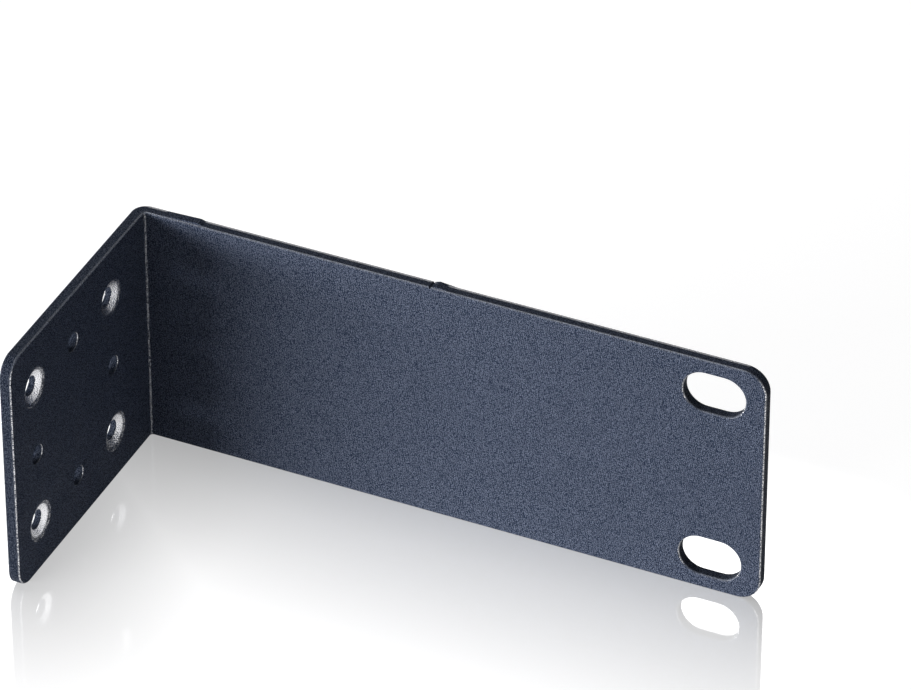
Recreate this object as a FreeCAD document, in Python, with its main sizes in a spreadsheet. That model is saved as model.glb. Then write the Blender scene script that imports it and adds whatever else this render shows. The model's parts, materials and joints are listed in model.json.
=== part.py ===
import FreeCAD, Part
import math
import os
import Sketcher

# Rack mount ear bracket
# One steel sheet, cut flat, punched and drilled, then folded once to a right angle.
# The long flange is the rack ear and lies in the XZ plane, with the fold at its -X end.
# The short flange is the side flange and runs from the fold towards -Y.
# The bracket stands on its lower cut edges at z = 0, with its box centred on the Z axis.

# Driving sizes in millimetres and degrees: name, value, meaning
SIZES = (
    ("ear_width", 108.9, "ear, from the outside of the fold to its free edge"),
    ("side_depth", 47.9, "side flange, from the back of the ear to its free edge"),
    ("sheet_gauge", 2.0, "coated sheet"),
    ("bend_radius", 0.5, "inside of the fold"),
    ("ear_corner", 4.0, "corner radius at the free edge of the ear"),
    ("side_corner", 3.5, "corner radius at the free edge of the side flange"),
    ("edge_round", 0.35, "rounding of the cut edges on the inner faces and of the rack slots"),
    ("back_round", 0.2, "rounding of the cut edges on the outer faces"),
    ("rack_pitch", 31.75, "rack slots, centre to centre"),
    ("rack_slot_length", 10.5, "rack slot, end to end"),
    ("rack_slot_width", 7.25, "rack slot, across"),
    ("rack_slot_inset", 8.65, "rack slot centre from the free edge of the ear"),
    ("rack_slot_margin", 2.5, "rim of a rack slot from the nearest long edge of the ear"),
    ("screw_pitch", 26.1, "countersunk holes, centre to centre both ways"),
    ("screw_inset", 7.6, "outer column of holes from the free edge of the side flange"),
    ("screw_hole", 3.4, "through diameter of the countersunk holes"),
    ("sink_rim", 6.5, "diameter of the countersink at the inner face"),
    ("sink_angle", 127.0, "included angle of the countersink"),
    ("plain_hole", 3.2, "diameter of the plain holes between the countersunk ones"),
    ("hole_round", 0.2, "rounding of the hole rims under the coat"),
    ("mark_root", 0.05, "how far the swell and the nick reach past the top edge at their foot"),
    ("swell_start", 2.8, "swell of the top edge by the fold: start from the outside of the fold"),
    ("swell_peak", 11.3, "swell: highest point"),
    ("swell_end", 12.4, "swell: end"),
    ("swell_rise", 0.25, "swell: height over the top edge"),
    ("burr_start", 51.2, "cutting burr on the top edge: start of its foot from the outside of the fold"),
    ("burr_peak", 52.9, "burr: highest point"),
    ("burr_end", 58.3, "burr: end of its foot"),
    ("burr_rise", 0.2, "burr: height over the top edge"),
    ("nick_start", 51.5, "nick across the top edge at the burr: start from the outside of the fold"),
    ("nick_width", 0.7, "nick: width along the edge"),
    ("nick_depth", 0.35, "nick: depth under the top edge"),
)
size = {name: value for name, value, meaning in SIZES}

# Height of both flanges, one rack unit less its clearance: it follows from the two rack slots
HEIGHT = "(sizes.rack_pitch + sizes.rack_slot_width + 2 * sizes.rack_slot_margin)"
ear_height = size["rack_pitch"] + size["rack_slot_width"] + 2 * size["rack_slot_margin"]

# How near a point or a length has to be to count as the same
NEAR = 1e-4


def size_sheet(doc):
    """The spreadsheet that holds the driving sizes under their names."""
    sheet = doc.addObject("Spreadsheet::Sheet", "sizes")
    for row, (name, value, meaning) in enumerate(SIZES, start=1):
        sheet.set(f"A{row}", meaning)
        sheet.set(f"B{row}", str(value))
        sheet.setAlias(f"B{row}", name)
    doc.recompute()
    return sheet


def new_sketch(body, name, plane, offset=None):
    """A sketch on an origin plane of the body, moved by expressions for its x, y and z."""
    sketch = body.newObject("Sketcher::SketchObject", name)
    sketch.AttachmentSupport = [(f, "") for f in body.Origin.OriginFeatures if f.Role == plane]
    sketch.MapMode = "FlatFace"
    for axis, expression in (offset or {}).items():
        sketch.setExpression(f"AttachmentOffset.Base.{axis}", expression)
    return sketch


def bind(sketch, kind, where, start_value, expression):
    """A dimension on a sketch, tied to the sheet by an expression."""
    number = sketch.addConstraint(Sketcher.Constraint(kind, *where, start_value))
    sketch.setExpression(f"Constraints[{number}]", expression)


def closed_polygon(sketch, points):
    """Straight lines through the points and back to the first, joined end to end."""
    lines = []
    for start, end in zip(points, points[1:] + points[:1]):
        segment = Part.LineSegment(FreeCAD.Vector(*start, 0), FreeCAD.Vector(*end, 0))
        lines.append(sketch.addGeometry(segment))
    for line, following in zip(lines, lines[1:] + lines[:1]):
        sketch.addConstraint(Sketcher.Constraint("Coincident", line, 2, following, 1))
    return lines


def edges_where(shape, wanted):
    """Names of the edges of a shape that a test function picks."""
    return [f"Edge{i}" for i, edge in enumerate(shape.Edges, start=1) if wanted(edge)]


def round_edges(body, name, base, edges, radius):
    """A rounding of the named edges of a feature."""
    fillet = body.newObject("PartDesign::Fillet", name)
    fillet.Base = (base, edges)
    fillet.setExpression("Radius", radius)
    body.Document.recompute()
    return fillet


def lies_at(shape, x=None, y=None, z=None):
    """Whether a whole edge or face lies at the given x, y or z."""
    box = shape.BoundBox
    ends = ((x, box.XMin, box.XMax), (y, box.YMin, box.YMax), (z, box.ZMin, box.ZMax))
    return all(at is None or (abs(low - at) < NEAR and abs(high - at) < NEAR) for at, low, high in ends)


def folded_sheet(body, place):
    """The L-shaped section, drawn with sharp corners and padded to the full height."""
    sketch = new_sketch(body, "fold_section", "XY_Plane")
    half_w, half_d, gauge = size["ear_width"] / 2, size["side_depth"] / 2, size["sheet_gauge"]
    points = [
        (-half_w, -half_d),
        (-half_w, half_d),
        (half_w, half_d),
        (half_w, half_d - gauge),
        (gauge - half_w, half_d - gauge),
        (gauge - half_w, -half_d),
    ]
    outer_side, back, free_edge, front, inner_side, side_edge = closed_polygon(sketch, points)
    for line in (back, front, side_edge):
        sketch.addConstraint(Sketcher.Constraint("Horizontal", line))
    for line in (outer_side, free_edge, inner_side):
        sketch.addConstraint(Sketcher.Constraint("Vertical", line))
    sketch.addConstraint(Sketcher.Constraint("Symmetric", outer_side, 1, back, 2, -1, 1))
    bind(sketch, "DistanceX", (back, 1, back, 2), size["ear_width"], "sizes.ear_width")
    bind(sketch, "DistanceY", (outer_side, 1, outer_side, 2), size["side_depth"], "sizes.side_depth")
    bind(sketch, "DistanceY", (free_edge, 2, free_edge, 1), gauge, "sizes.sheet_gauge")
    bind(sketch, "DistanceX", (outer_side, 1, inner_side, 2), gauge, "sizes.sheet_gauge")

    pad = body.newObject("PartDesign::Pad", "sheet_pad")
    pad.Profile = sketch
    pad.setExpression("Length", HEIGHT)
    body.Document.recompute()

    inside = edges_where(pad.Shape, lambda e: lies_at(e, x=place["side_inner"], y=place["ear_front"]))
    inner_bend = round_edges(body, "inner_bend", pad, inside, "sizes.bend_radius")
    outside = edges_where(inner_bend.Shape, lambda e: lies_at(e, x=place["side_outer"], y=place["ear_back"]))
    return round_edges(body, "outer_bend", inner_bend, outside, "sizes.bend_radius + sizes.sheet_gauge")


def rounded_corners(body, base, place):
    """The four free corners of the two flanges."""
    def ear_end(edge):
        return lies_at(edge, x=place["ear_end"], z=0) or lies_at(edge, x=place["ear_end"], z=place["top"])

    def side_end(edge):
        return lies_at(edge, y=place["side_end"], z=0) or lies_at(edge, y=place["side_end"], z=place["top"])

    ears = round_edges(body, "ear_corners", base, edges_where(base.Shape, ear_end), "sizes.ear_corner")
    return round_edges(body, "side_corners", ears, edges_where(ears.Shape, side_end), "sizes.side_corner")


def rounded_outline(body, base, place):
    """The rounding along the outline of both faces, where a face of the sheet meets the cut."""
    def is_skin(face):
        normal = face.normalAt(*face.Surface.parameter(face.CenterOfMass))
        free_cut = lies_at(face, x=place["ear_end"]) or lies_at(face, y=place["side_end"])
        return abs(normal.z) < NEAR and not free_cut

    def is_outline(edge):
        sides = [is_skin(face) for face in shape.ancestorsOfType(edge, Part.Face)]
        return sorted(sides) == [False, True]

    def is_outer(edge):
        box = edge.BoundBox
        at_skin = abs(box.XMin - place["side_outer"]) < NEAR or abs(box.YMax - place["ear_back"]) < NEAR
        return at_skin and is_outline(edge)

    def is_inner(edge):
        box = edge.BoundBox
        at_skin = abs(box.XMin - place["side_inner"]) < NEAR or abs(box.YMax - place["ear_front"]) < NEAR
        return at_skin and is_outline(edge)

    shape = base.Shape
    outer = round_edges(body, "outer_outline_round", base, edges_where(shape, is_outer), "sizes.back_round")
    shape = outer.Shape
    return round_edges(body, "inner_outline_round", outer, edges_where(shape, is_inner), "sizes.edge_round")


def rack_slots(body, base, place):
    """The two oval slots near the free edge of the ear, long way along X."""
    sketch = new_sketch(body, "rack_slot_plan", "XZ_Plane", {"z": "sizes.sheet_gauge - sizes.side_depth / 2"})
    radius = size["rack_slot_width"] / 2
    reach = size["rack_slot_length"] / 2 - radius
    for sign, way in ((-1, "-"), (1, "+")):
        x, z = place["rack_x"], place["middle"] + sign * size["rack_pitch"] / 2
        near = FreeCAD.Vector(x - reach, z, 0)
        far = FreeCAD.Vector(x + reach, z, 0)
        up = FreeCAD.Vector(0, radius, 0)
        axis = FreeCAD.Vector(0, 0, 1)
        quarter = math.pi / 2
        left = sketch.addGeometry(Part.ArcOfCircle(Part.Circle(near, axis, radius), quarter, 3 * quarter))
        right = sketch.addGeometry(Part.ArcOfCircle(Part.Circle(far, axis, radius), -quarter, quarter))
        low = sketch.addGeometry(Part.LineSegment(near - up, far - up))
        high = sketch.addGeometry(Part.LineSegment(far + up, near + up))
        for joint in ((left, 2, low, 1), (low, 2, right, 1), (right, 2, high, 1), (high, 2, left, 1)):
            sketch.addConstraint(Sketcher.Constraint("Tangent", *joint))
        sketch.addConstraint(Sketcher.Constraint("Horizontal", low))
        sketch.addConstraint(Sketcher.Constraint("Equal", left, right))
        bind(sketch, "Radius", (left,), radius, "sizes.rack_slot_width / 2")
        straight = "sizes.rack_slot_length - sizes.rack_slot_width"
        right_centre = f"sizes.ear_width / 2 - sizes.rack_slot_inset + ({straight}) / 2"
        bind(sketch, "DistanceX", (left, 3, right, 3), 2 * reach, straight)
        bind(sketch, "DistanceX", (-1, 1, right, 3), x + reach, right_centre)
        bind(sketch, "DistanceY", (-1, 1, right, 3), z, f"{HEIGHT} / 2 {way} sizes.rack_pitch / 2")

    pocket = body.newObject("PartDesign::Pocket", "rack_slots")
    pocket.Profile = sketch
    pocket.Type = "ThroughAll"
    pocket.Midplane = True
    body.Document.recompute()

    def is_rim(edge):
        box = edge.BoundBox
        inside = abs(box.Center.x - place["rack_x"]) < size["rack_slot_length"] / 2
        inside = inside and box.ZMin > NEAR and box.ZMax < place["top"] - NEAR
        return inside and (lies_at(edge, y=place["ear_front"]) or lies_at(edge, y=place["ear_back"]))

    return round_edges(body, "rack_slot_round", pocket, edges_where(pocket.Shape, is_rim), "sizes.edge_round")


def hole_plan(body, name, spots, diameter):
    """Circles on the inner face of the side flange, placed from its lower free corner.

    Each spot counts half pitches along the flange from its outer column, and up or down from
    the middle of its height."""
    offset = {"x": "-sizes.side_depth / 2", "z": "sizes.sheet_gauge - sizes.ear_width / 2"}
    sketch = new_sketch(body, name, "YZ_Plane", offset)
    half_pitch = size["screw_pitch"] / 2
    for along, up in spots:
        y = size["screw_inset"] + along * half_pitch
        z = ear_height / 2 + up * half_pitch
        circle = Part.Circle(FreeCAD.Vector(y, z, 0), FreeCAD.Vector(0, 0, 1), size[diameter] / 2)
        ring = sketch.addGeometry(circle)
        bind(sketch, "Diameter", (ring,), size[diameter], f"sizes.{diameter}")
        bind(sketch, "DistanceX", (-1, 1, ring, 3), y, f"sizes.screw_inset + {along} * sizes.screw_pitch / 2")
        bind(sketch, "DistanceY", (-1, 1, ring, 3), z, f"{HEIGHT} / 2 + {up} * sizes.screw_pitch / 2")
    body.Document.recompute()
    return sketch


def drilled(body, name, sketch, diameter):
    """Through holes at the circles of a sketch, drilled from the inner face."""
    hole = body.newObject("PartDesign::Hole", name)
    hole.Profile = sketch
    body.Document.recompute()
    hole.DepthType = "ThroughAll"
    hole.setExpression("Diameter", diameter)
    return hole


def side_holes(body, place):
    """Four countersunk holes at the corners of a square and four plain ones between them."""
    corners = hole_plan(body, "screw_hole_plan", [(0, -1), (2, -1), (0, 1), (2, 1)], "screw_hole")
    screws = drilled(body, "screw_holes", corners, "sizes.screw_hole")
    screws.HoleCutType = "Countersink"
    screws.HoleCutCustomValues = True
    screws.setExpression("HoleCutDiameter", "sizes.sink_rim")
    screws.setExpression("HoleCutCountersinkAngle", "sizes.sink_angle")
    body.Document.recompute()

    middles = hole_plan(body, "plain_hole_plan", [(1, -1), (0, 0), (2, 0), (1, 1)], "plain_hole")
    plain = drilled(body, "plain_holes", middles, "sizes.plain_hole")
    body.Document.recompute()

    def is_rim(edge):
        at_face = lies_at(edge, x=place["side_inner"]) or lies_at(edge, x=place["side_outer"])
        return at_face and isinstance(edge.Curve, Part.Circle) and edge.isClosed()

    return round_edges(body, "hole_round", plain, edges_where(plain.Shape, is_rim), "sizes.hole_round")


def edge_mark(body, name, kind, places, foot, height, front, back):
    """A low three-cornered mark along the top edge of the ear.

    Its foot has two places along the edge and its ridge a third, all counted from the outside of
    the fold. It reaches from the middle of the sheet to the given distances in front and behind,
    and from the top edge to its height one way and to its foot the other way: an added mark
    stands up with its foot down in the sheet, and a cut one goes down with its foot in the air."""
    wedge = body.newObject("PartDesign::" + kind, name)
    added = kind == "AdditiveWedge"
    turn = FreeCAD.Rotation(FreeCAD.Vector(1, 0, 0), 90 if added else -90)
    wedge.Placement = FreeCAD.Placement(FreeCAD.Vector(), turn)
    wedge.setExpression("Placement.Base.x", "-sizes.ear_width / 2")
    wedge.setExpression("Placement.Base.y", "sizes.side_depth / 2 - sizes.sheet_gauge / 2")
    wedge.setExpression("Placement.Base.z", HEIGHT)
    start, ridge, end = places
    low_side, high_side = (back, front) if added else (front, back)
    bound = {
        "Xmin": start, "Xmax": end, "X2min": ridge, "X2max": ridge,
        "Ymin": f"-{foot}", "Ymax": height,
        "Zmin": f"-({low_side})", "Zmax": high_side, "Z2min": f"-({low_side})", "Z2max": high_side,
    }
    for side, expression in bound.items():
        wedge.setExpression(side, expression)
    body.Document.recompute()
    return wedge


def edge_marks(body):
    """What the cutting and the folding left on the top edge: a swell, a burr and a nick."""
    skin = "sizes.sheet_gauge / 2"
    front = "sizes.sheet_gauge / 2 - sizes.edge_round"
    back = "sizes.sheet_gauge / 2 - sizes.back_round"
    swell = ("sizes.swell_start", "sizes.swell_peak", "sizes.swell_end")
    edge_mark(body, "fold_swell", "AdditiveWedge", swell, "sizes.mark_root", "sizes.swell_rise", front, back)
    burr = ("sizes.burr_start", "sizes.burr_peak", "sizes.burr_end")
    edge_mark(body, "cut_burr", "AdditiveWedge", burr, "sizes.edge_round", "sizes.burr_rise", front, skin)
    nick = tuple("sizes.nick_start" + past for past in ("", " + sizes.nick_width / 2", " + sizes.nick_width"))
    edge_mark(body, "cut_nick", "SubtractiveWedge", nick, "sizes.burr_rise", "sizes.nick_depth", skin, skin)


def build_ear_bracket(doc):
    """The folded sheet as one body."""
    body = doc.addObject("PartDesign::Body", "ear_bracket")
    body.Label = "ear_bracket"
    doc.recompute()
    place = {
        "side_outer": -size["ear_width"] / 2,
        "side_inner": size["sheet_gauge"] - size["ear_width"] / 2,
        "ear_end": size["ear_width"] / 2,
        "ear_back": size["side_depth"] / 2,
        "ear_front": size["side_depth"] / 2 - size["sheet_gauge"],
        "side_end": -size["side_depth"] / 2,
        "top": ear_height,
        "middle": ear_height / 2,
        "rack_x": size["ear_width"] / 2 - size["rack_slot_inset"],
    }
    bent = folded_sheet(body, place)
    cornered = rounded_corners(body, bent, place)
    outlined = rounded_outline(body, cornered, place)
    rack_slots(body, outlined, place)
    side_holes(body, place)
    edge_marks(body)
    return body


doc = FreeCAD.newDocument("ear_bracket")
size_sheet(doc)
bracket = build_ear_bracket(doc)
doc.recompute()

for thing in doc.Objects:
    if {"Invalid", "Error"} & set(thing.State):
        raise RuntimeError(f"{thing.Name} failed: {thing.State}")
if bracket.Shape.isNull() or not bracket.Shape.isValid() or len(bracket.Shape.Solids) != 1:
    raise RuntimeError("the bracket isn't one valid solid")

os.makedirs("parts", exist_ok=True)
bracket.Shape.exportStep("parts/ear_bracket.step")
box = bracket.Shape.optimalBoundingBox()
print("ear_bracket", [round(v, 3) for v in (box.XMin, box.XMax, box.YMin, box.YMax, box.ZMin, box.ZMax)])
print("volume", round(bracket.Shape.Volume, 2), "mm3,", len(bracket.Shape.Faces), "faces")
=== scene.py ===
import json
import math
import bpy
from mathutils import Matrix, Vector

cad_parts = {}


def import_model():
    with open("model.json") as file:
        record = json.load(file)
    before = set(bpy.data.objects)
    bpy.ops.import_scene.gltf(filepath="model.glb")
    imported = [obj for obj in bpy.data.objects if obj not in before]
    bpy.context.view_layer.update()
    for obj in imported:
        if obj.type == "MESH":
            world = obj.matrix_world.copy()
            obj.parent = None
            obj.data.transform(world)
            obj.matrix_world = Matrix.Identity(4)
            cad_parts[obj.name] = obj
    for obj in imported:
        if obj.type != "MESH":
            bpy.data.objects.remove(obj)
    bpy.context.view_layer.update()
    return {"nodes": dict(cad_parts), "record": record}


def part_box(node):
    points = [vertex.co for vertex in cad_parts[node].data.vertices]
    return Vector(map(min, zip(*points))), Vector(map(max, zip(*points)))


# Rack mount ear bracket: one folded steel sheet under a fine-grained blue-black powder coat.
# The countersinks are bare metal. Everything is in metres, in the frame of the solid model.

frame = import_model()

MM = 0.001

# Places and sizes of the bracket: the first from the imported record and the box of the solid, the last
# four as the solid has them, which are the fold's inside radius, the height of the ear's top edge, and
# the rim radius and the depth of the countersinks
BRACKET = frame["nodes"]["ear_bracket"]
LOW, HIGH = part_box("ear_bracket")
MOUNTS = {mount["name"]: mount for mount in frame["record"]["mounts"]}
SCREWS = MOUNTS["side_screws"]
SCREW_CENTRE = Vector(SCREWS["pos_m"])
SCREW_HALF_PITCH = SCREWS["dims"]["spacing_x_mm"] * MM / 2
GAUGE = HIGH.y - MOUNTS["rail_face"]["pos_m"][1]
SIDE_INNER = LOW.x + GAUGE
EAR_INNER = HIGH.y - GAUGE
FOLD_RADIUS = 0.5 * MM
EAR_TOP = 44.0 * MM
SINK_RIM = 3.25 * MM
SINK_DEPTH = 0.773 * MM

# Camera of the photograph: where it stands, the point on its axis, its lens on a 36 mm sensor, and the
# nearest and farthest that it sees
CAMERA_AT = Vector((0.35484, -0.74910, 0.64708))
CAMERA_AIM = Vector((0.00193, 0.02195, 0.03432))
LENS_MM = 263.52
SENSOR_MM = 36.0
NEAREST = 0.05
FARTHEST = 50.0

# Soft lamps, all as far from the bracket: name, direction, width, height, and how bright they are as a
# multiple of white. The fill is the light that comes from all round.
LAMP_DISTANCE = 1.0
LAMPS = (
    ("key", (-0.57, -0.82, 0.1), 0.7, 0.2, 33.5),
    ("front_right", (0.5, -0.87, 0.1), 0.2, 0.2, 3.0),
    ("top", (-0.3, -0.02, 0.93), 0.5, 0.5, 5.0),
    ("right", (1.0, 0.0, 0.5), 0.5, 0.5, 0.4),
    ("back_left", (-0.45, 0.75, 0.45), 0.5, 0.5, 1.5),
)
ROOM_FILL = 0.03

# The floor: half its width, its colour, how much it mirrors at the foot of the ear and of the side
# flange, how far from each the mirroring ends, how rough the mirror is, and how much light the floor
# is given towards the camera, where 1 is white
FLOOR_HALF = 6.0
FLOOR_COLOUR = (0.45, 0.45, 0.455, 1.0)
EAR_MIRROR = 0.5
EAR_REACH = 36.0 * MM
SIDE_MIRROR = 0.34
SIDE_REACH = 29.0 * MM
MIRROR_ROUGHNESS = 0.05
FLOOR_LIFT = 0.79

# Grain: beads in a metre on the coat and on the bare steel, which is wear and painted highlight on the
# edges, the turn of their rows about X, Y and Z, so that they lie along no face of the sheet, and how
# freely the beads lie within the rows
COAT_BEADS = 4600.0
BARE_STEEL_BEADS = 3600.0
BEAD_TURN = (0.6, 0.4, 0.9)
BEAD_FREEDOM = 0.6

# The height of the grain: the top of a bead, the shares of the beads and of the smooth noise, and how
# many times finer than the beads the noise is. Then how fine the patches are against the beads, and
# how many finer layers they have.
BEAD_TOP = 0.98
BEAD_SHARE = 0.6
NOISE_SHARE = 0.4
NOISE_RATE = 2.1
PATCH_RATE = 0.06
PATCH_DETAIL = 2.0

# The coat: its colours in the valleys and on the beads, the heights of the grain at which one starts
# to turn into the other and is done, the power of that turn, and how deep the relief is
COAT_VALLEY = (0.016, 0.026, 0.052, 1.0)
COAT_BEAD = (0.236, 0.272, 0.372, 1.0)
VALLEY_HEIGHT = 0.36
BEAD_HEIGHT = 0.67
BEAD_CONTRAST = 1.6
COAT_RELIEF = 0.4 * MM

# Painted shade on the cut edges and in the hole walls: the share of the coat's colour left there, and
# between which values of facing out of the sheet it gets its whole colour
CUT_EDGE_SHADE = 0.45
CUT_SHADE_FADE = (0.1, 0.6)

# The coat's sheen: its roughness from patch to patch and the patch values between which it changes,
# its specular level and tint, and the roughness of the gloss on its edges
COAT_ROUGHNESS = (0.5, 0.6)
PATCH_RANGE = (0.3, 0.7)
COAT_SPECULAR = 0.02
COAT_TINT = (0.75, 0.88, 1.0, 1.0)
GLOSS_ROUGHNESS = 0.3

# Bare steel, on the countersinks and in the worn flecks and painted highlights on the edges: its
# colour, roughness and relief
STEEL = (0.90, 0.90, 0.92, 1.0)
STEEL_ROUGHNESS = 0.22
STEEL_RELIEF = 0.13 * MM

# How bare the steel is: in flecks on the upright edges, partly wear and partly painted highlight, in
# flecks in the inner fold as a painted highlight, and in an even painted highlight line on the back rim
# of the ear. The last value is the heights of the grain between which a fleck starts.
EDGE_WEAR_AND_GLINT = 0.85
FOLD_GLINT = 0.15
RIM_GLINT = 0.2
FLECK_RANGE = (0.42, 0.58)

# Rounded edges, by how much a point faces out of the sheet: where they start from the face and where
# they start from the cut
ROUND_FROM_FACE = (0.94, 0.83)
ROUND_FROM_CUT = (0.02, 0.25)

# Corners between two upright faces, by the product of how far a point faces along X and along Y, which
# is 0.5 half way round: the inner fold's and the upright edges'. The fold's starts this far outside the
# inner face of the side flange.
FOLD_TURN = (0.28, 0.45)
UPRIGHT_TURN = (0.3, 0.45)
FOLD_START = 0.05 * MM

# The painted highlight line on the back rim: how far in front of the ear's back it starts, is whole,
# begins to end and is gone, how much it has to face up, and how far it may be off the height of the
# ear's top
RIM_START = 0.56 * MM
RIM_WHOLE = 0.43 * MM
RIM_ENDING = 0.22 * MM
RIM_GONE = 0.15 * MM
RIM_UPWARD = (0.5, 0.9)
RIM_SLACK = 0.04 * MM

# The bare countersinks: how far speckles move their border, how far inside the rim the metal begins
# and is whole, how far outside it the flecks begin and are densest, the heights of the grain between
# which such a fleck starts, how bare it is, and how far under and over the countersink's foot the
# metal fades in
SINK_RAGGED = 0.5 * MM
SINK_BEGINS = 0.35 * MM
SINK_WHOLE = 0.6 * MM
FLECKS_BEGIN = 0.35 * MM
FLECKS_DENSEST = 0.15 * MM
SINK_FLECK_RANGE = (0.45, 0.7)
SINK_FLECK_WEAR = 0.6
FOOT_UNDER = 0.04 * MM
FOOT_OVER = 0.02 * MM


def put(tree, kind, inputs=None, **settings):
    """A node with its settings, and its inputs set to values or joined to other sockets."""
    node = tree.nodes.new(kind)
    for name, value in settings.items():
        setattr(node, name, value)
    for name, value in (inputs or {}).items():
        if isinstance(value, bpy.types.NodeSocket):
            tree.links.new(value, node.inputs[name])
        else:
            node.inputs[name].default_value = value
    return node


def sums(tree, operation, *values):
    """The result of a Math node on numbers or sockets."""
    return put(tree, "ShaderNodeMath", dict(enumerate(values)), operation=operation).outputs[0]


def less(tree, first, second):
    """The first value less the second."""
    return sums(tree, "SUBTRACT", first, second)


def times(tree, first, second):
    """The product of two values."""
    return sums(tree, "MULTIPLY", first, second)


def larger(tree, first, second):
    """The larger of two values."""
    return sums(tree, "MAXIMUM", first, second)


def size_of(tree, value):
    """A value without its sign."""
    return sums(tree, "ABSOLUTE", value)


def ramp(tree, value, start, end, low=0.0, high=1.0):
    """A smooth step from low to high while the value goes from start to end."""
    inputs = {"Value": value, "From Min": start, "From Max": end, "To Min": low, "To Max": high}
    return put(tree, "ShaderNodeMapRange", inputs, interpolation_type="SMOOTHSTEP").outputs["Result"]


def slope(tree, value, start, end, low=0.0, high=1.0):
    """A straight line from low to high while the value goes from start to end."""
    inputs = {"Value": value, "From Min": start, "From Max": end, "To Min": low, "To Max": high}
    return put(tree, "ShaderNodeMapRange", inputs).outputs["Result"]


def length(tree, **parts):
    """The length of a vector that is given by its parts along X, Y and Z."""
    vector = put(tree, "ShaderNodeCombineXYZ", parts).outputs[0]
    return put(tree, "ShaderNodeVectorMath", {0: vector}, operation="LENGTH").outputs["Value"]


def relief(tree, depth, height):
    """The normal of a surface whose grain stands out by a depth times its height."""
    bump = put(tree, "ShaderNodeBump", {"Strength": 1.0, "Distance": depth, "Height": height})
    return bump.outputs["Normal"]


def new_group(name, inputs, outputs):
    """An empty shader group with named sockets: its tree, its input node and its output node."""
    tree = bpy.data.node_groups.new(name, "ShaderNodeTree")
    for socket, kind in inputs:
        tree.interface.new_socket(socket, in_out="INPUT", socket_type="NodeSocket" + kind)
    for socket, kind in outputs:
        tree.interface.new_socket(socket, in_out="OUTPUT", socket_type="NodeSocket" + kind)
    return tree, put(tree, "NodeGroupInput"), put(tree, "NodeGroupOutput")


def powder_grain():
    """The grain of a fine powder coat: close-set round beads with smooth noise twice as fine over them.

    Its height is a share of what is left of a bead's top at this distance from its centre, plus a
    share of the noise. Its patches are a slow noise of their own."""
    tree, given, out = new_group("powder_grain", [("Place", "Vector"), ("Per metre", "Float")],
                                 [("Height", "Float"), ("Patches", "Float")])
    place, per_metre = given.outputs["Place"], given.outputs["Per metre"]
    turned = put(tree, "ShaderNodeMapping", {"Vector": place, "Rotation": BEAD_TURN}).outputs[0]
    beads = put(tree, "ShaderNodeTexVoronoi", {
        "Vector": turned, "Scale": per_metre, "Randomness": BEAD_FREEDOM}, feature="F1")
    fine = put(tree, "ShaderNodeTexNoise", {
        "Vector": place, "Scale": times(tree, per_metre, NOISE_RATE), "Detail": 0.0})
    patches = put(tree, "ShaderNodeTexNoise", {
        "Vector": place, "Scale": times(tree, per_metre, PATCH_RATE), "Detail": PATCH_DETAIL})
    bead = times(tree, less(tree, BEAD_TOP, beads.outputs["Distance"]), BEAD_SHARE)
    height = sums(tree, "MULTIPLY_ADD", fine.outputs["Fac"], NOISE_SHARE, bead)
    tree.links.new(height, out.inputs["Height"])
    tree.links.new(patches.outputs["Fac"], out.inputs["Patches"])
    return tree


def new_material(name):
    """An empty node material: its tree and its output node."""
    material = bpy.data.materials.new(name)
    material.use_nodes = True
    material.node_tree.nodes.clear()
    return material, material.node_tree, put(material.node_tree, "ShaderNodeOutputMaterial")


def facing(tree, x, y):
    """How much a point faces out of the sheet, how much up and how far round an upright corner, and
    whether it is in the fold.

    Out of the sheet is 1 on its two sides and 0 on a cut edge: the part of the normal along X on the
    side flange, along Y on the ear, and level in the fold. The corner is the product of the parts
    along X and Y."""
    normal = put(tree, "ShaderNodeTexCoord").outputs["Normal"]
    normal_x, normal_y, upward = put(tree, "ShaderNodeSeparateXYZ", {0: normal}).outputs
    out_of_side = size_of(tree, normal_x)
    out_of_ear = size_of(tree, normal_y)
    out_of_fold = sums(tree, "SQRT", less(tree, 1.0, times(tree, upward, upward)))
    on_side = sums(tree, "LESS_THAN", y, EAR_INNER - FOLD_RADIUS)
    on_ear = sums(tree, "GREATER_THAN", x, SIDE_INNER + FOLD_RADIUS)
    on_fold = less(tree, less(tree, 1.0, on_side), on_ear)
    flat = sums(tree, "MULTIPLY_ADD", on_side, out_of_side, times(tree, on_ear, out_of_ear))
    out_of_sheet = sums(tree, "MULTIPLY_ADD", on_fold, out_of_fold, flat)
    return out_of_sheet, upward, times(tree, out_of_side, out_of_ear), on_fold


def edge_masks(tree, x, y, z):
    """How much a point faces out of the sheet, and how much it lies on a rounded edge, in the inner
    fold, on an upright edge and on the ear's back rim."""
    out_of_sheet, upward, corner, on_fold = facing(tree, x, y)
    rounded = times(tree, ramp(tree, out_of_sheet, *ROUND_FROM_FACE),
                    ramp(tree, out_of_sheet, *ROUND_FROM_CUT))
    inner = times(tree, on_fold, sums(tree, "GREATER_THAN", x, SIDE_INNER - FOLD_START))
    folded = times(tree, inner, ramp(tree, corner, *FOLD_TURN))
    upright = times(tree, rounded, ramp(tree, corner, *UPRIGHT_TURN))
    back_rim = times(tree, ramp(tree, y, HIGH.y - RIM_START, HIGH.y - RIM_WHOLE),
                     ramp(tree, y, HIGH.y - RIM_GONE, HIGH.y - RIM_ENDING))
    back_rim = times(tree, back_rim, ramp(tree, upward, *RIM_UPWARD))
    back_rim = times(tree, back_rim, sums(tree, "COMPARE", z, EAR_TOP, RIM_SLACK))
    return out_of_sheet, rounded, folded, upright, back_rim


def screw_radius(tree, y, z):
    """How far a point is from the nearest of the four screw axes."""
    off_y = less(tree, size_of(tree, less(tree, y, SCREW_CENTRE.y)), SCREW_HALF_PITCH)
    off_z = less(tree, size_of(tree, less(tree, z, SCREW_CENTRE.z)), SCREW_HALF_PITCH)
    return length(tree, Y=off_y, Z=off_z)


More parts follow.
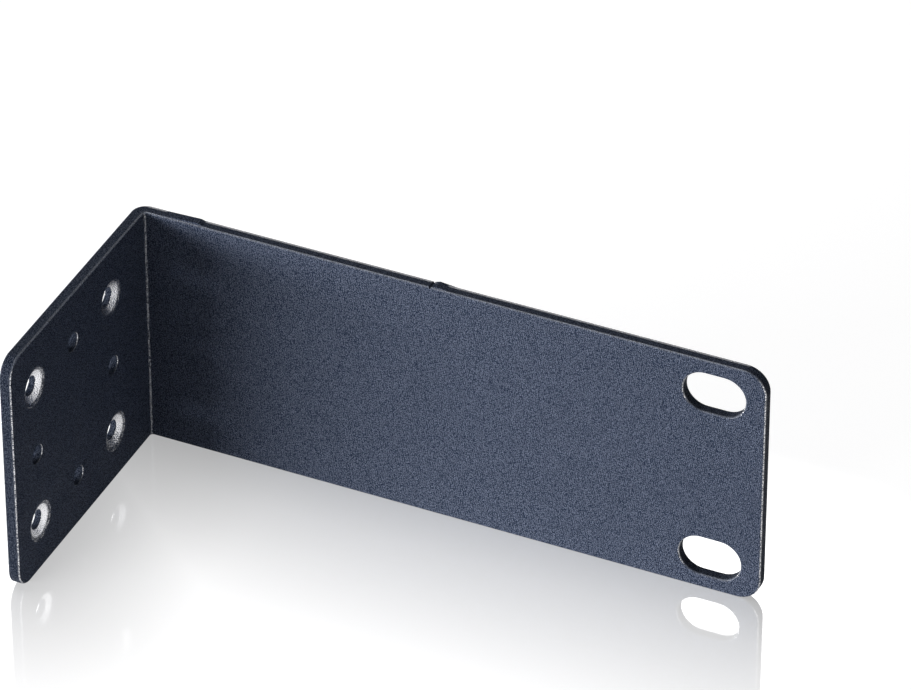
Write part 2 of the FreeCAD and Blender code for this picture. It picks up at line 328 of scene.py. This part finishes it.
def bare_countersink(tree, x, radius, speckle):
    """How bare a point of the countersinks is: all of it inside, in flecks about the rim."""
    ragged = sums(tree, "MULTIPLY_ADD", less(tree, speckle, 0.5), SINK_RAGGED, radius)
    inside = ramp(tree, ragged, SINK_RIM - SINK_BEGINS, SINK_RIM - SINK_WHOLE)
    flecks = ramp(tree, speckle, *SINK_FLECK_RANGE, 0.0, SINK_FLECK_WEAR)
    near_rim = ramp(tree, ragged, SINK_RIM + FLECKS_BEGIN, SINK_RIM + FLECKS_DENSEST)
    foot = SIDE_INNER - SINK_DEPTH
    above = ramp(tree, x, foot - FOOT_UNDER, foot + FOOT_OVER)
    return times(tree, larger(tree, inside, times(tree, near_rim, flecks)), above)


def coat_colour(tree, out_of_sheet, height):
    """Dark in the valleys of the grain and lighter on its beads, with painted shade on the cut edges
    and hole walls.
    """
    speckled = sums(tree, "POWER", slope(tree, height, VALLEY_HEIGHT, BEAD_HEIGHT), BEAD_CONTRAST)
    blue_grey = put(tree, "ShaderNodeMix", data_type="RGBA")
    tree.links.new(speckled, blue_grey.inputs["Factor"])
    blue_grey.inputs[6].default_value = COAT_VALLEY
    blue_grey.inputs[7].default_value = COAT_BEAD
    # Painted shade: the cut edges and the hole walls keep only a share of the coat's colour.
    cut_shade = ramp(tree, out_of_sheet, *CUT_SHADE_FADE, CUT_EDGE_SHADE, 1.0)
    scaled = {0: blue_grey.outputs[2], "Scale": cut_shade}
    return put(tree, "ShaderNodeVectorMath", scaled, operation="SCALE").outputs[0]


def coated_steel(grain):
    """Blue-black powder coat with painted shade on the cut edges, bare steel in flecks and lines on
    some edges as wear and painted highlights, over bare steel countersinks.
    """
    material, tree, out = new_material("powder_coat")
    place = put(tree, "ShaderNodeTexCoord").outputs["Object"]
    x, y, z = put(tree, "ShaderNodeSeparateXYZ", {0: place}).outputs
    coat = put(tree, "ShaderNodeGroup", {"Place": place, "Per metre": COAT_BEADS}, node_tree=grain)
    bare_grain = put(tree, "ShaderNodeGroup", {"Place": place, "Per metre": BARE_STEEL_BEADS}, node_tree=grain)
    height, speckle = coat.outputs["Height"], bare_grain.outputs["Height"]
    out_of_sheet, rounded, folded, upright, back_rim = edge_masks(tree, x, y, z)
    flecked = ramp(tree, speckle, *FLECK_RANGE)

    coat_shader = put(tree, "ShaderNodeBsdfPrincipled", {
        "Base Color": coat_colour(tree, out_of_sheet, height),
        "Roughness": ramp(tree, coat.outputs["Patches"], *PATCH_RANGE, *COAT_ROUGHNESS),
        "Specular IOR Level": COAT_SPECULAR, "Specular Tint": COAT_TINT,
        "Coat Weight": larger(tree, rounded, times(tree, folded, flecked)),
        "Coat Roughness": GLOSS_ROUGHNESS,
        "Normal": relief(tree, COAT_RELIEF, height)})
    metal_shader = put(tree, "ShaderNodeBsdfPrincipled", {
        "Base Color": STEEL, "Metallic": 1.0, "Roughness": STEEL_ROUGHNESS,
        "Normal": relief(tree, STEEL_RELIEF, speckle)})

    # Bare steel in flecks on the upright edges, partly wear and partly painted highlight, in the fold
    # as a painted highlight, and as an even painted highlight line on the back rim.
    worn_and_glinting = larger(tree, times(tree, upright, EDGE_WEAR_AND_GLINT), times(tree, folded, FOLD_GLINT))
    worn_and_glinting = larger(tree, times(tree, worn_and_glinting, flecked), times(tree, back_rim, RIM_GLINT))
    bare = larger(tree, worn_and_glinting, bare_countersink(tree, x, screw_radius(tree, y, z), speckle))
    mixed = put(tree, "ShaderNodeMixShader", {
        0: bare, 1: coat_shader.outputs[0], 2: metal_shader.outputs[0]})
    tree.links.new(mixed.outputs[0], out.inputs["Surface"])
    return material


def past_half(tree, value, low, high):
    """How far a value is outside the stretch from low to high, and 0 within it."""
    off = less(tree, size_of(tree, less(tree, value, (low + high) / 2)), (high - low) / 2)
    return larger(tree, off, 0.0)


def gap_to(tree, x, y, low, high):
    """How far a place on the floor is from a rectangle that stands on it."""
    return length(tree, X=past_half(tree, x, low[0], high[0]), Y=past_half(tree, y, low[1], high[1]))


def floor_material():
    """Pale floor that mirrors the foot of the bracket and less of it farther off."""
    material, tree, out = new_material("pale_floor")
    place = put(tree, "ShaderNodeTexCoord").outputs["Object"]
    x, y = put(tree, "ShaderNodeSeparateXYZ", {0: place}).outputs[:2]
    from_ear = gap_to(tree, x, y, (LOW.x, EAR_INNER), (HIGH.x, HIGH.y))
    from_side = gap_to(tree, x, y, (LOW.x, LOW.y), (SIDE_INNER, HIGH.y))
    near = larger(tree, slope(tree, from_ear, 0.0, EAR_REACH, EAR_MIRROR, 0.0),
                  slope(tree, from_side, 0.0, SIDE_REACH, SIDE_MIRROR, 0.0))
    seen = put(tree, "ShaderNodeLightPath")
    lifted = larger(tree, seen.outputs["Is Camera Ray"], seen.outputs["Is Glossy Ray"])
    matt = put(tree, "ShaderNodeBsdfDiffuse", {"Color": FLOOR_COLOUR})
    lift = put(tree, "ShaderNodeEmission", {"Strength": times(tree, lifted, FLOOR_LIFT)})
    pale = put(tree, "ShaderNodeAddShader", {0: matt.outputs[0], 1: lift.outputs[0]})
    mirror = put(tree, "ShaderNodeBsdfGlossy", {
        "Color": (1.0, 1.0, 1.0, 1.0), "Roughness": MIRROR_ROUGHNESS})
    both = put(tree, "ShaderNodeMixShader", {0: near, 1: pale.outputs[0], 2: mirror.outputs[0]})
    tree.links.new(both.outputs[0], out.inputs["Surface"])
    return material


def floor():
    """A large flat floor that the bracket stands on."""
    mesh = bpy.data.meshes.new("floor")
    corners = [(-FLOOR_HALF, -FLOOR_HALF, 0), (FLOOR_HALF, -FLOOR_HALF, 0),
               (FLOOR_HALF, FLOOR_HALF, 0), (-FLOOR_HALF, FLOOR_HALF, 0)]
    mesh.from_pydata(corners, [], [(0, 1, 2, 3)])
    plane = bpy.data.objects.new("floor", mesh)
    mesh.materials.append(floor_material())
    bpy.context.scene.collection.objects.link(plane)


def softbox(name, toward, width, height, level):
    """An area lamp that looks at the bracket from a direction, as bright as level times white."""
    lamp = bpy.data.lights.new(name, "AREA")
    lamp.shape = "RECTANGLE"
    lamp.size = width
    lamp.size_y = height
    lamp.energy = level * math.pi * width * height
    box = bpy.data.objects.new(name, lamp)
    way = Vector(toward).normalized()
    box.location = (LOW + HIGH) / 2 + way * LAMP_DISTANCE
    box.rotation_euler = (-way).to_track_quat("-Z", "Y").to_euler()
    bpy.context.scene.collection.objects.link(box)


def world():
    """Soft light from all round. The camera and reflections see it as white."""
    made = bpy.data.worlds.new("studio")
    bpy.context.scene.world = made
    made.use_nodes = True
    tree = made.node_tree
    tree.nodes.clear()
    seen = put(tree, "ShaderNodeLightPath")
    fill = put(tree, "ShaderNodeBackground", {"Strength": ROOM_FILL})
    white = put(tree, "ShaderNodeBackground", {"Strength": 1.0})
    shown = larger(tree, seen.outputs["Is Camera Ray"], seen.outputs["Is Glossy Ray"])
    mixed = put(tree, "ShaderNodeMixShader", {0: shown, 1: fill.outputs[0], 2: white.outputs[0]})
    out = put(tree, "ShaderNodeOutputWorld")
    tree.links.new(mixed.outputs[0], out.inputs["Surface"])


def camera():
    """The camera at the photograph's place and angle."""
    data = bpy.data.cameras.new("camera")
    data.sensor_width = SENSOR_MM
    data.lens = LENS_MM
    data.clip_start = NEAREST
    data.clip_end = FARTHEST
    made = bpy.data.objects.new("camera", data)
    made.location = CAMERA_AT
    made.rotation_euler = (CAMERA_AIM - CAMERA_AT).to_track_quat("-Z", "Y").to_euler()
    bpy.context.scene.collection.objects.link(made)
    bpy.context.scene.camera = made


camera()
world()
floor()
for lamp in LAMPS:
    softbox(*lamp)

BRACKET.material_slots[0].material = coated_steel(powder_grain())

bpy.context.scene.view_settings.view_transform = "Standard"
